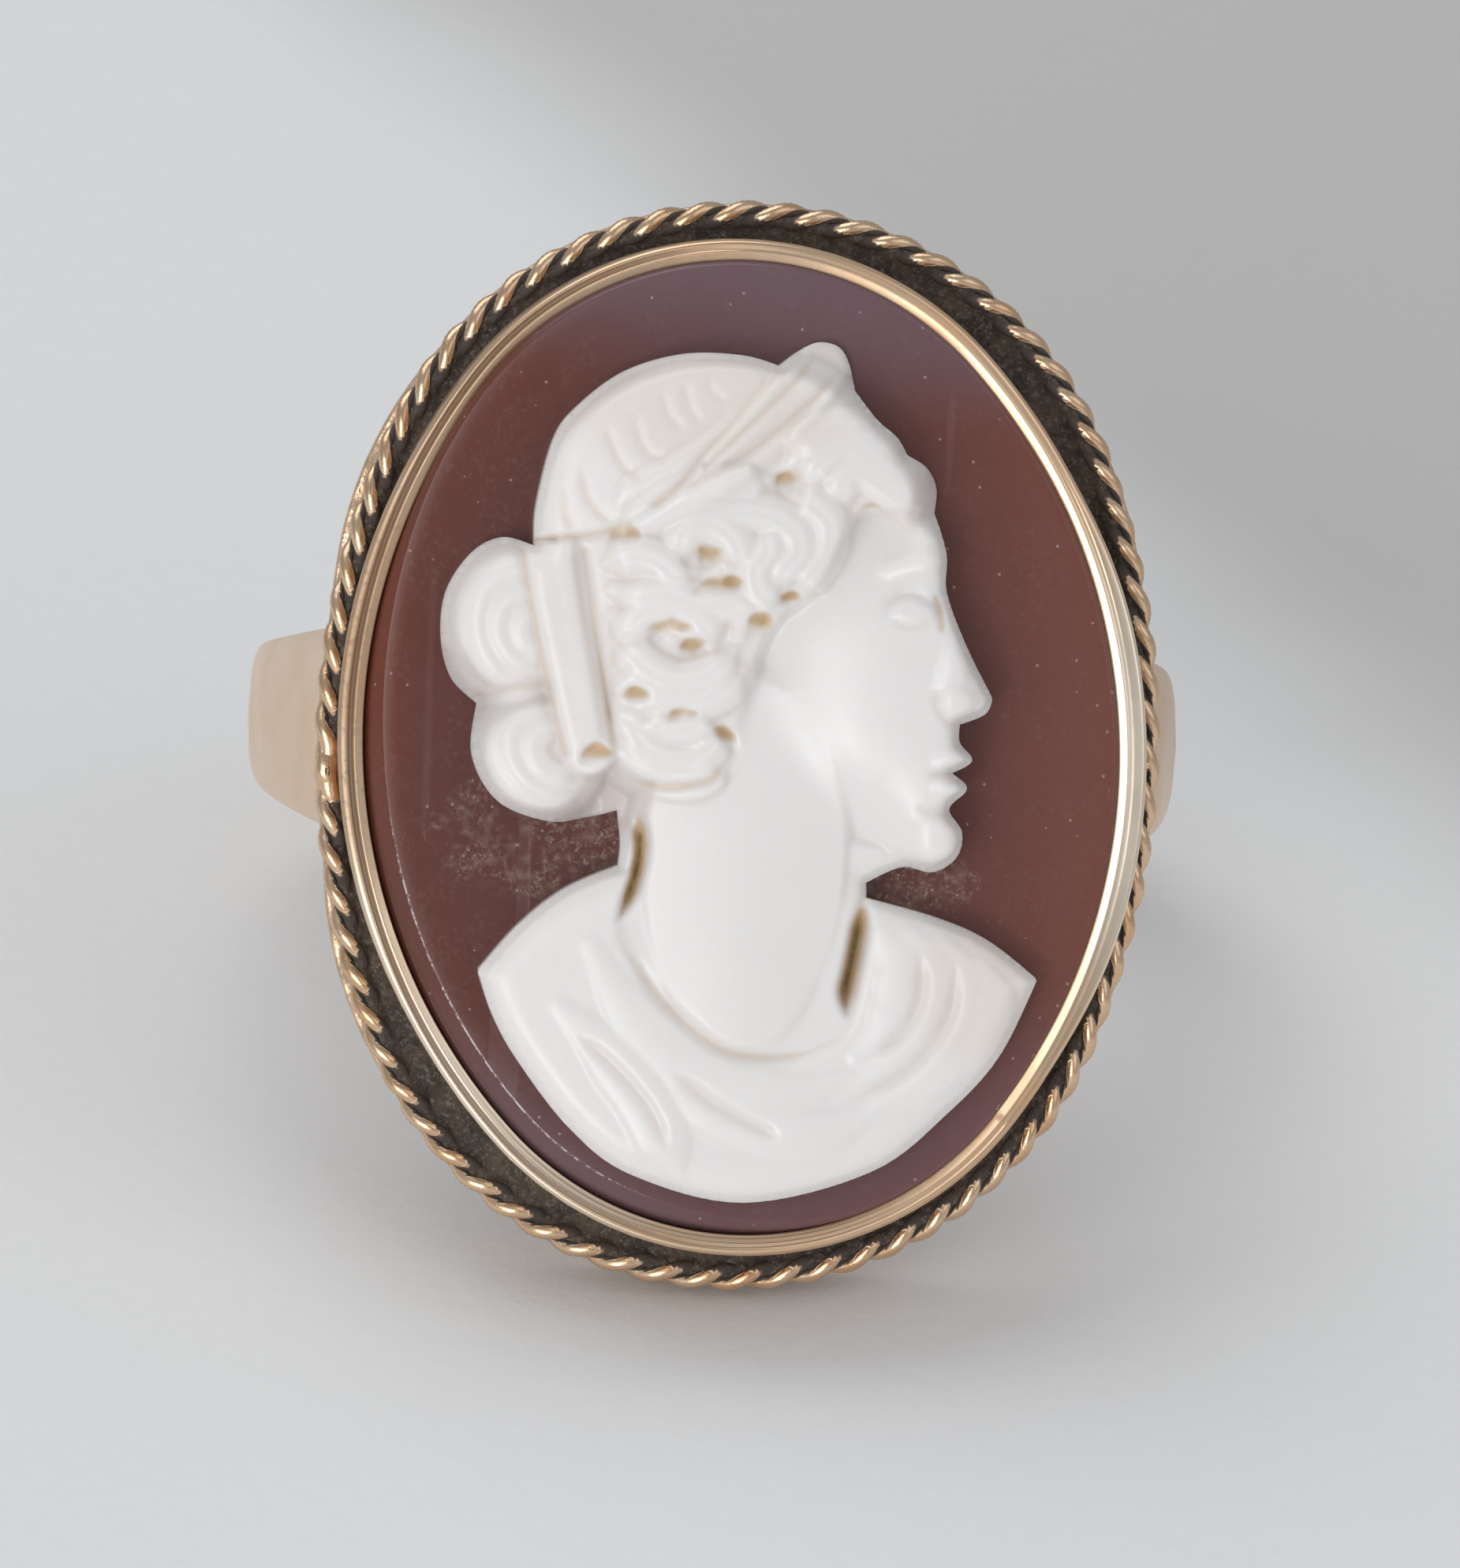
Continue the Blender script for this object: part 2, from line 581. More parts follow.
# The foot of the wall, under the table of the brown layer
SUNK = -4

# Domes: x, y, half width, half length, angle, rise, width and steepness of the edge
DOMES = [
    (3, -62, 74, 54, 0, 58),
    (0, -22, 24, 44, -3, 70, 0.36, 0.8),
    (0, -50, 25, 22, 0, 64, 0.9, 0.6),
    (30, 12, 31, 43, 20, 84, 0.4, 0.74),
    (30, 12, 36, 46, 20, 84, 1, 0.6),
    (-4, 38, 46, 44, 0, 83),
    (-6, 34, 40, 50, 0, 74),
    (-44, 25, 16.5, 18.5, 0, 68, 0.6),
    (-40, -1, 15, 14.5, 0, 60, 0.6),
]
# How softly two domes run into each other
BLEND = 9.0
# Swells, as x, y, half width, half length, angle and rise, and cuts, as a run, its half
# width, depth, stain, blush and taper
FACE_FORMS = [
    (33, 36.5, 9, 3.2, 10, 6),
    (34, 29.5, 8.5, 6, 6, -8),
    (32.6, 27.2, 5.6, 3.2, -4, 8),
    ([(27.2, 27.0), (30, 29.8), (33.5, 30.3), (36.8, 28.2)], 1.3, 3.5, 0.25),
    ([(28.2, 26.0), (31, 24.6), (34, 24.6), (36.6, 26.4)], 1.1, 2.5),
    ([(36.9, 31), (38.1, 27), (38.3, 22.5)], 1.6, 4.5, 0.55),
    (42.5, 20, 4.2, 15, -22, 5),
    (41.4, 9.2, 4.2, 4.0, 0, 8),
    ([(37.6, 12.5), (37.2, 9), (39.4, 5.6), (43.2, 5.6)], 1.4, 5, 0.3),
    (41.2, -1.6, 5.4, 2.5, 12, 6),
    (40.4, -7.4, 4.6, 2.5, -10, 6),
    ([(35.4, -5.1), (38, -4.4), (41.2, -4.7)], 1.3, 6, 0.25, 0, 0.4),
    (37.6, -11.8, 5, 1.8, -6, -4),
    (37.5, -17.4, 6.5, 6, 0, 5),
]
KNOT_CUTS = [
    ([(-33.4, 39), (-31.8, 27), (-29.4, 13), (-27.6, 2)], 0.9, 4, 0, 0.6, 0.06),
    ([(-52, 10.5), (-45, 12), (-38, 13)], 2.0, 14, 0.2, 0.6, 0.05),
    ([(-24, -5.4), (-15.2, -7), (-6.9, -5.6), (-4, -2)], 1.7, 7, 0.35, 0.9),
]

# Runs of a tool or of hair
CAP_COMBS = [
    [(-32, 56), (-31, 50), (-28, 46), (-25, 44)],
    [(-27, 64), (-25.5, 58.5), (-23, 54.5), (-20, 52)],
    [(-21.6, 66), (-20.3, 60), (-17.8, 57.3), (-14, 56.2)],
    [(-16, 70), (-15.2, 65.7), (-12, 62.5)],
    [(-11.7, 72), (-11, 67), (-8.5, 63.5)],
    [(-7, 74), (-6.8, 70.2), (-3.6, 68)],
    [(-36, 52), (-35, 46), (-33, 43)],
]
DIADEM_CUTS = [
    [(6.5, 75), (-1.1, 65.7), (-7.5, 58.6), (-13, 52), (-19, 47)],
    [(18.5, 73), (8.6, 64.6), (2, 59.3), (-5, 55), (-13, 50.5)],
    [(14, 76), (5.5, 68), (-2.5, 60.5), (-9, 54.5)],
]
LOCKS = [
    [(9, 56.4), (12.2, 60.3), (17.4, 62.9), (24, 62.9), (29.8, 59), (33.7, 54.4), (37, 51.2)],
    [(12.2, 51.2), (14.2, 55.7), (18.1, 59), (22.6, 59), (26.6, 55.7), (31.8, 52.5), (36.3, 49.2)],
    [(19, 47.6), (19, 52.5), (22, 55), (25.9, 52.5), (30.5, 49.2), (34, 48)],
    [(-22, 44), (-15, 49), (-8, 51.5), (-1, 51.5), (4, 52.8)],
    [(-24, 40.5), (-20.4, 45.6), (-12.6, 47.3), (-4.8, 46.8), (3.1, 46.4), (8.9, 43.4), (10.4, 39),
     (7, 34.5), (7, 31)],
    [(10, 49.5), (12.5, 48.4), (16.1, 44.7), (16.3, 39.4), (12.9, 34.2), (11, 31.5)],
    [(-13.5, 37), (-12, 42.5), (-7.4, 44.4), (-3.4, 42.4), (-1.5, 39), (-2, 35.8)],
    [(2.5, 42.8), (4.3, 39.5), (1.8, 34.8), (3, 30.6), (6.6, 28.2)],
    [(-26.9, 36.8), (-21.7, 38.2), (-17.1, 37), (-14, 34.2), (-10.5, 34.8)],
    [(-26, 31.5), (-20.4, 30.2), (-15.8, 31), (-10, 29), (-4.8, 28.6), (-0.8, 27), (-1.2, 22.5)],
    [(-26, 26.4), (-22.4, 25), (-19, 27.3), (-13.5, 26.9), (-8.6, 24.8), (-6.8, 20.8)],
    [(-25, 21.5), (-21.7, 18.6), (-18.4, 15.6), (-12.6, 13.6), (-6, 15.3), (-2.6, 19.6)],
    [(-25, 15.8), (-22, 13), (-17.8, 10.5), (-11.3, 9.4), (-4.8, 11.4), (-0.8, 15.8)],
    [(-25, 9.6), (-22.4, 4.9), (-18.4, 0), (-12.6, -1.6), (-7.4, 0.2), (-5.8, 4.2)],
    [(-25, 3.6), (-21.3, -2.3), (-15.2, -5.4), (-9.3, -5.4), (-4.4, -1.6)],
    [(-20, 7.2), (-15.4, 4), (-10.6, 4.2), (-7.4, 7)],
]
KNOT_LOCKS = [
    [(-41, 38.5), (-47.5, 39), (-54, 34.5), (-56.6, 26), (-54.5, 17)],
    [(-40.5, 34.6), (-46, 35.4), (-51, 31.6), (-52.6, 24.8), (-50.2, 17.6), (-45, 13.4)],
    [(-39.6, 30.4), (-44, 31), (-47.8, 27.8), (-48.4, 22.8), (-45.4, 18), (-40, 15.4)],
    [(-38.6, 26), (-41.8, 26.6), (-44, 24), (-42.6, 20.6), (-37.6, 19)],
    [(-38, 12), (-46, 11), (-50.4, 6), (-50, -1), (-45.4, -8), (-38, -11.4), (-30, -11)],
    [(-37, 8.6), (-43, 7.6), (-46.2, 3), (-45, -3), (-40.4, -7.6), (-33, -9.2)],
    [(-36.4, 5.4), (-40.5, 4), (-41.8, 0), (-39, -4.4), (-33, -6.6)],
]
RIBBON = [(-38.6, 43), (-37.2, 31), (-34.6, 18), (-32, 6), (-30.4, 0)]
RIBBON_BACK = [(-43.6, 40), (-42, 30), (-39.6, 18), (-36.6, 5), (-35, -1)]
RIBBON_EDGE = [(-31.6, 40), (-30, 30), (-28.2, 18), (-26.6, 6), (-25.8, -1)]
RIBBON_TOP = [(-43.5, 40.6), (-36, 41.6), (-29, 42.4), (-22, 44.6)]
FOLDS = [
    [(-30, -38), (-24, -49), (-14, -60), (-2, -66.5), (10, -67.5), (20, -64)],
    [(-22, -57), (-10, -67.5), (2, -73.5), (14, -75), (24, -71)],
    [(27, -36), (30.5, -42), (31, -49), (28, -55), (22, -60)],
    [(32, -36), (36.5, -42), (37.5, -50), (34, -57.5), (27, -63), (18, -67)],
    [(39, -38), (42.5, -44), (43, -52), (39.5, -59), (33, -65.5), (24, -71)],
    [(46, -42), (47.5, -49), (45, -57), (40, -64)],
    [(-36, -50), (-27, -59), (-20, -68), (-15.5, -77), (-13.5, -83)],
]
FOLD_CUTS = [
    [(-24.3, -37), (-21.3, -41.4), (-16.9, -48), (-10.4, -54), (-4.5, -58.2), (3, -60), (11.6, -59.2),
     (19.6, -55.5)],
    [(-33, -55), (-25, -62), (-18.5, -70), (-15, -78)],
    [(-14, -62.5), (-6.7, -68.5), (1.3, -73), (7, -75.5)],
    [(34, -40), (34.5, -47), (31.5, -54), (25.5, -59.5)],
    [(41, -41), (40.5, -50), (36.5, -57.5), (30, -63.5), (20, -68.5)],
]
# Slits beside the neck
LEFT_SLIT = [(-20.6, -11), (-20, -18.5), (-21.4, -25.5), (-25, -34)]
RIGHT_SLIT = [(23.7, -28), (22.9, -33.3), (21.2, -42), (19.9, -48), (20.2, -53)]
# Deep drill holes in the hair: x, y, half length, half width, angle
PITS = [
    (7.9, 52.8, 3.0, 1.9, 30),
    (-23.6, 42.2, 3.0, 1.6, 10),
    (-7.6, 38.2, 2.6, 1.9, 45),
    (-5.6, 32.4, 5.4, 1.5, 10),
    (-15.8, 24.1, 4.6, 1.6, 14),
    (-11.4, 20.2, 2.8, 1.4, 38),
    (2.8, 24.6, 3.0, 2.0, 10),
    (9.4, 29.8, 2.4, 1.1, -20),
    (-21.6, 10.8, 3.6, 1.5, -20),
    (-12.6, 7.3, 2.8, 1.0, 5),
    (-3.4, 2.5, 2.8, 1.3, -55),
    (-29.2, -0.4, 3.2, 1.7, 3),
    (24.5, 47.6, 2.6, 0.9, 5),
]


def smooth_run(points, steps=8):
    """A smooth curve through points, by Catmull and Rom's rule."""
    p = np.asarray(points, float)
    p = np.concatenate([p[:1], p, p[-1:]])
    a, b, c, d = (p[k : len(p) - 3 + k, None] for k in range(4))
    t = np.linspace(0, 1, steps, endpoint=False)[:, None]
    curve = b + 0.5 * t * (c - a + t * (2 * a - 5 * b + 4 * c - d + t * (3 * (b - c) + d - a)))
    return np.concatenate([curve.reshape(-1, 2), p[-1:]])


def nearest(points, run):
    """For each point the distance to a run, the nearest place on it, how far along it
    that is, from 0 to 1, and on which side the point lies."""
    best = np.full(len(points), np.inf)
    place = np.zeros_like(points)
    along = np.zeros(len(points))
    side = np.ones(len(points))
    for k in range(len(run) - 1):
        a, step = run[k], run[k + 1] - run[k]
        t = np.clip((points - a) @ step / max(step @ step, 1e-12), 0, 1)
        at = a + t[:, None] * step
        gap = ((points - at) ** 2).sum(1)
        near = gap < best
        best = np.where(near, gap, best)
        place[near] = at[near]
        along[near] = (k + t[near]) / (len(run) - 1)
        turn = step[0] * (points[:, 1] - a[1]) - step[1] * (points[:, 0] - a[0])
        side[near] = np.sign(turn[near])
    return np.sqrt(best), place, along, side


class Relief:
    """Height of the carving over a set of points, built up form by form."""

    def __init__(self, points):
        self.p = points
        self.height = np.zeros(len(points))
        self.stain = np.zeros(len(points))
        self.blush = np.zeros(len(points))

    def ellipse(self, x, y, half_w, half_l, turn, bend=0):
        """1 at the centre of an ellipse, 0 on its edge and less outside. A bend turns its
        ends down, in half lengths."""
        c, s = math.cos(math.radians(turn)), math.sin(math.radians(turn))
        dx, dy = self.p[:, 0] - x, self.p[:, 1] - y
        across = (dx * c + dy * s) / half_w
        return 1 - across**2 - ((dy * c - dx * s) / half_l + bend * across**2) ** 2

    def dome(self, x, y, half_w, half_l, turn, rise, edge=0.32, steep=0.78):
        """A dome that climbs steeply at its edge and gently over its top."""
        d = np.maximum(self.ellipse(x, y, half_w, half_l, turn), 0)
        return rise * (steep * smoothstep(0, edge, d) + (1 - steep) * d)

    def swell(self, x, y, half_w, half_l, turn, rise):
        """A soft bump, or a hollow where rise is under 0."""
        d = np.maximum(self.ellipse(x, y, half_w, half_l, turn), 0)
        self.height += rise * smoothstep(0, 1, d)

    def near(self, run, reach):
        """The points within reach of a run, with their distances to it."""
        run = smooth_run(run)
        low, high = run.min(0) - reach, run.max(0) + reach
        picked = np.flatnonzero(((self.p > low) & (self.p < high)).all(1))
        gap, _, along, side = nearest(self.p[picked], run)
        close = gap < reach
        return picked[close], gap[close], along[close], side[close]

    def cut(self, run, half_w, depth, stain=0.0, blush=0.0, taper=0.25):
        """A groove with a round bottom that narrows and fades at its ends."""
        picked, gap, along, _ = self.near(run, half_w)
        ends = smoothstep(0, taper, np.minimum(along, 1 - along) + 0.02)
        share = ends * smoothstep(0, 1, 1 - gap / (half_w * (0.25 + 0.75 * ends)))
        self.height[picked] -= depth * share
        self.stain[picked] = np.maximum(self.stain[picked], stain * share)
        self.blush[picked] = np.maximum(self.blush[picked], blush * share)

    def locks(self, runs, half_w, rise, strands=1.5, ripple=0.14, taper=0.16, tint=0.0):
        """Rounded locks of hair side by side, each with fine strands along it, and a
        tint in the valleys between them."""
        top = np.zeros(len(self.p))
        beside = np.zeros(len(self.p))
        for run in runs:
            picked, gap, along, side = self.near(run, half_w)
            ends = 0.35 + 0.65 * smoothstep(0, taper, np.minimum(along, 1 - along))
            q = gap / half_w / ends
            round_top = np.sqrt(np.clip(1 - q**2, 0, 1)) * ends
            wave = (1 - np.cos(2 * np.pi * strands * (q * side + 1))) / 2
            strand = 1 - ripple * wave * smoothstep(1, 0.6, q)
            top[picked] = np.maximum(top[picked], round_top * strand)
            beside[picked] = np.maximum(beside[picked], ends)
        self.height += rise * top
        valley = tint * beside * smoothstep(0.72, 0.3, top)
        self.blush = np.maximum(self.blush, valley)


def carve(points, edge_gap):
    """The whole relief, from the large forms to the small. Returns heights and marks."""
    r = Relief(points)
    x, y = points.T
    domes = [r.dome(*form) for form in DOMES]
    bust, neck, chest, face, soft_face, hair, head_back, upper_bun, lower_bun = domes
    # The jaw stands over the neck, and the neck runs down into the chest
    neck = np.logaddexp(neck / BLEND, chest / BLEND) * BLEND - 4
    under_jaw = np.logaddexp(neck / BLEND, soft_face / BLEND) * BLEND
    behind = smoothstep(36, 25, x)
    neck_and_face = np.maximum(neck, face) * (1 - behind) + under_jaw * behind
    r.height = np.maximum(bust, neck_and_face)

    # Face: brow, socket, lids, cheek, nose wing, lips and chin
    front = smoothstep(4, 12, x)
    plain = r.height.copy()
    for form in FACE_FORMS:
        (r.cut if isinstance(form[0], list) else r.swell)(*form)
    r.height = plain + (r.height - plain) * front

    # Hair over the head, with locks, combed cap, diadem, knot and ribbon
    inside = smoothstep(-1.6, 1.2, side_of(points, HAIRLINE))
    hair_top = np.maximum(hair, head_back)
    covered = np.maximum(hair_top, r.height + 5)
    r.height = r.height + (covered - r.height) * inside
    base = r.height.copy()
    r.locks(LOCKS, 4.4, 15, ripple=0.1, tint=0.6)
    cap = smoothstep(-1.2, 1.2, side_of(points, CAP_EDGE))
    loose = (r.height - base) * (1 - cap)
    r.height = base - 6 * inside * (1 - cap) + loose
    for run in CAP_COMBS:
        r.cut(run, 1.6, 1.6, blush=0.75)
    gap = nearest(points, smooth_run(DIADEM_LINE))[0]
    r.height += 9 * ((1 - smoothstep(4.5, 7.0, gap)) * smoothstep(44, 52, y))
    for run in DIADEM_CUTS:
        r.cut(run, 1.6, 7, stain=0.22, blush=0.9, taper=0.12)
    knot = np.maximum(upper_bun, lower_bun)
    in_knot = (x - 0.16 * (20 - y) < -33.5) & (np.abs(y - 13) < 28.5)
    r.height = np.where(in_knot, knot, np.maximum(r.height, np.where(y < 20, knot, 0)))
    r.locks(KNOT_LOCKS, 3.6, 11, strands=1.0, ripple=0.12, tint=0.5)
    picked, gap, _, _ = r.near(RIBBON, 5.6)
    flat = (1 - smoothstep(4.4, 5.6, gap)) * (1 - smoothstep(40.6, 42.2, y[picked]))
    ribbon_top = 86 - 2.5 * smoothstep(2.2, 4.2, gap)
    r.height[picked] += (ribbon_top - r.height[picked]) * flat
    for run in (RIBBON_BACK, RIBBON_EDGE, RIBBON_TOP):
        r.cut(run, 1.4, 6, stain=0.3, blush=0.9, taper=0.06)
    for form in KNOT_CUTS:
        r.cut(*form)

    # Dress and neck
    dress = smoothstep(-1.5, 1.5, side_of(points, NECKLINE)) * (y < -24)
    r.height += 7 * dress
    before = r.height.copy()
    r.locks(FOLDS, 5.8, 6, strands=0.5, ripple=0.0, taper=0.35)
    r.height = before + (r.height - before) * dress
    for run in FOLD_CUTS:
        r.cut(run, 2.1, 5, stain=0.35 if run is FOLD_CUTS[0] else 0.0, blush=0.4)
    r.cut(LEFT_SLIT, 2.0, 38, stain=1.0, taper=0.3)
    r.cut(RIGHT_SLIT, 2.6, 44, stain=1.0, taper=0.35)
    ragged = value_noise(points, 2.4, 41)
    for px, py, half_l, half_w, turn in PITS:
        inside = r.ellipse(px, py, half_l * 1.15, half_w * 1.3, turn, bend=0.5) + 0.55 * ragged
        upper = smoothstep(-1.5, 0.6, (y - py) / half_w)
        r.height -= 12 * smoothstep(-0.1, 0.9, inside) * (0.3 + 0.7 * upper)
        r.stain = np.maximum(r.stain, smoothstep(-0.7, 1.1, inside) * upper * 0.8)

    # The edge rounds over towards the wall, more at the hair and dress than the profile
    crisp = smoothstep(30, 38, x) * smoothstep(-27, -20, y) * (1 - smoothstep(44, 48, y))
    reach = 5.5 - 1.5 * crisp
    t = np.clip(edge_gap / reach, 0, 1)
    wall = 0.58 + 0.05 * crisp
    r.height *= wall + (1 - wall) * np.sqrt(1 - (1 - t) ** 2)
    return r


def side_of(points, run):
    """Distance to a run, over 0 on its left and under 0 on its right."""
    gap, _, _, side = nearest(points, smooth_run(run))
    return gap * side


# The hair lies left of this line, seen up from the nape round the ear to the forehead
HAIRLINE = [
    (-34, -16), (-25, -10), (-16, -8.8), (-9, -8.2), (-4, -4.6), (-1.2, 1), (-1, 6), (1.4, 13), (3, 19),
    (7, 26), (12.5, 30), (16.5, 35.5), (19, 41), (22.5, 46), (30.5, 46.6), (40, 47.6),
]
CAP_EDGE = [(-40, 41), (-30, 42), (-22, 45), (-13, 51), (-3, 58), (8, 69), (16, 82)]
DIADEM_LINE = [(18, 78), (10, 69.5), (2, 62), (-5, 56.5), (-12, 52), (-20, 48)]
NECKLINE = [
    (60, -22), (26, -27), (23.5, -40), (20, -54), (11.6, -59.5), (3, -60.3), (-4.5, -58.5), (-10.4, -54.3),
    (-16.9, -48), (-21.3, -41.4), (-24.6, -35), (-21.2, -25), (-20, -18), (-20.6, -8),
]


def softened(height, weight, passes=2):
    """A height field averaged with its eight neighbours, those beside it counting twice
    and itself four times. Cells without weight count for nothing."""
    steps = [(0, 0), (1, 0), (-1, 0), (0, 1), (0, -1), (1, 1), (-1, 1), (1, -1), (-1, -1)]
    for _ in range(passes):
        total, share_of = np.zeros_like(height), np.zeros_like(height)
        for di, dj in steps:
            part = 4 / 2 ** (abs(di) + abs(dj))
            total += part * np.roll(height * weight, (di, dj), (0, 1))
            share_of += part * np.roll(weight, (di, dj), (0, 1))
        height = np.where(weight > 0, total / np.maximum(share_of, 1), 0)
    return height


def inside_of(points, rim):
    """Whether points lie inside a closed run: a line to the right crosses it an odd
    number of times."""
    crossings = np.zeros(len(points), int)
    for a, b in zip(rim[:-1], rim[1:]):
        spans = (a[1] > points[:, 1]) != (b[1] > points[:, 1])
        if spans.any():
            at = a[0] + (points[:, 1] - a[1]) * (b[0] - a[0]) / (b[1] - a[1])
            crossings += spans & (points[:, 0] < at)
    return crossings % 2 == 1


def figure_mesh(stone):
    """A fine height field. Points just outside the outline are dropped, the outermost
    ones that are left move onto it, and a wall runs from them down to the table."""
    scale = stone.figure_h / UNITS_HIGH
    rim = np.concatenate([smooth_run(run)[:-1] for run in OUTLINE])
    rim = np.concatenate([rim, rim[:1]])
    xs = np.arange(-61, 60, CELL)
    ys = np.arange(-90.5, 82, CELL)
    grid = np.stack(np.meshgrid(xs, ys, indexing="ij"), axis=-1)
    flat = grid.reshape(-1, 2)
    gap, place, _, _ = nearest(flat, rim)
    kept = (inside_of(flat, rim) & (gap > 0.25 * CELL)).reshape(grid.shape[:2])
    cells = kept[:-1, :-1] & kept[1:, :-1] & kept[1:, 1:] & kept[:-1, 1:]
    index = np.arange(flat.shape[0]).reshape(grid.shape[:2])
    quads = np.stack([index[:-1, :-1], index[1:, :-1], index[1:, 1:], index[:-1, 1:]], axis=-1)[cells]
    edges = np.concatenate([quads[:, [k, (k + 1) % 4]] for k in range(4)])
    keys = edges.min(1) * len(flat) + edges.max(1)
    _, first, times = np.unique(keys, return_index=True, return_counts=True)
    rim_edges = edges[first[times == 1]]
    flat[rim_edges] = place[rim_edges]
    gap[rim_edges] = 0
    used = np.unique(quads)
    relief = carve(flat[used], gap[used])
    height = np.zeros((2, len(flat)))
    height[:, used] = relief.height, np.ones(len(used))
    soft = softened(*height.reshape(2, *grid.shape[:2]))
    top = np.column_stack([flat[used], soft.ravel()[used]])
    renumber = np.full(len(flat), -1)
    renumber[used] = np.arange(len(used))
    quads, rim_edges = renumber[quads], renumber[rim_edges]
    # The wall: rows of points under the rim, which lean out a little to the table
    rim_points = np.unique(rim_edges)
    spot = np.full(len(used), -1)
    spot[rim_points] = np.arange(len(rim_points))
    a, b = spot[rim_edges].T
    rows, faces = [top], [quads]
    above = rim_points
    count = len(top)
    for share, sunk in ((0.66, 0), (0.33, 0), (0, 0), (0, SUNK)):
        rows.append(top[rim_points] * (1, 1, share) + (0, 0, sunk))
        below = count + np.arange(len(rim_points))
        faces.append(np.stack([above[b], above[a], below[a], below[b]], axis=1))
        above = below
        count += len(rim_points)
    # The underside, sunk in the brown layer: flat triangles to one point
    rows.append(np.array([[0, -40, SUNK]]))
    faces.append(np.stack([above[b], above[a], np.full(len(a), count)], axis=1))
    points = np.concatenate(rows)
    more = len(points) - len(top)
    marks = {"stain": np.append(relief.stain, np.full(more, 0.15))}
    marks["blush"] = np.append(relief.blush, np.full(more, 0.3))
    marks["thick"] = np.append(top[:, 2], points[len(top) :, 2].clip(0)) / 100
    c, s = math.cos(stone.lean), math.sin(stone.lean)
    placed_xy = points[:, :2] @ np.array([[c, s], [-s, c]]) * scale
    level = stone.table_z + points[:, 2] * stone.relief / 100
    return np.column_stack([placed_xy, level]), faces, marks


def make_figure(stone, material):
    points, faces, marks = figure_mesh(stone)
    add_piece("carved_bust", points, faces, material, "white_layer", "cameo_figure", **marks)


# Finishes


class Number:
    """A number in a material, so that sums of it read as sums."""

    def __init__(self, finish, socket):
        self.finish = finish
        self.socket = socket

    def maths(self, operation, *values):
        node = self.finish.node("ShaderNodeMath", {"operation": operation}, dict(enumerate(values)))
        return Number(self.finish, node.outputs[0])

    def __add__(self, other):
        return self.maths("ADD", self, other)

    def __sub__(self, other):
        return self.maths("SUBTRACT", self, other)

    def __rsub__(self, other):
        return self.maths("SUBTRACT", other, self)

    def __mul__(self, other):
        return self.maths("MULTIPLY", self, other)

    __radd__ = __add__
    __rmul__ = __mul__

    def between(self, low, high):
        """0 at low, 1 at high, eased."""
        settings = {"interpolation_type": "SMOOTHSTEP", "clamp": True}
        inputs = {"Value": self, "From Min": low, "From Max": high}
        node = self.finish.node("ShaderNodeMapRange", settings, inputs)
        return Number(self.finish, node.outputs["Result"])

    def over(self, other):
        return self.maths("MAXIMUM", self, other)

    def wave(self, length):
        """A sine of this number, from -1 to 1, that repeats every length."""
        return self.maths("SINE", self * (2 * math.pi / length))


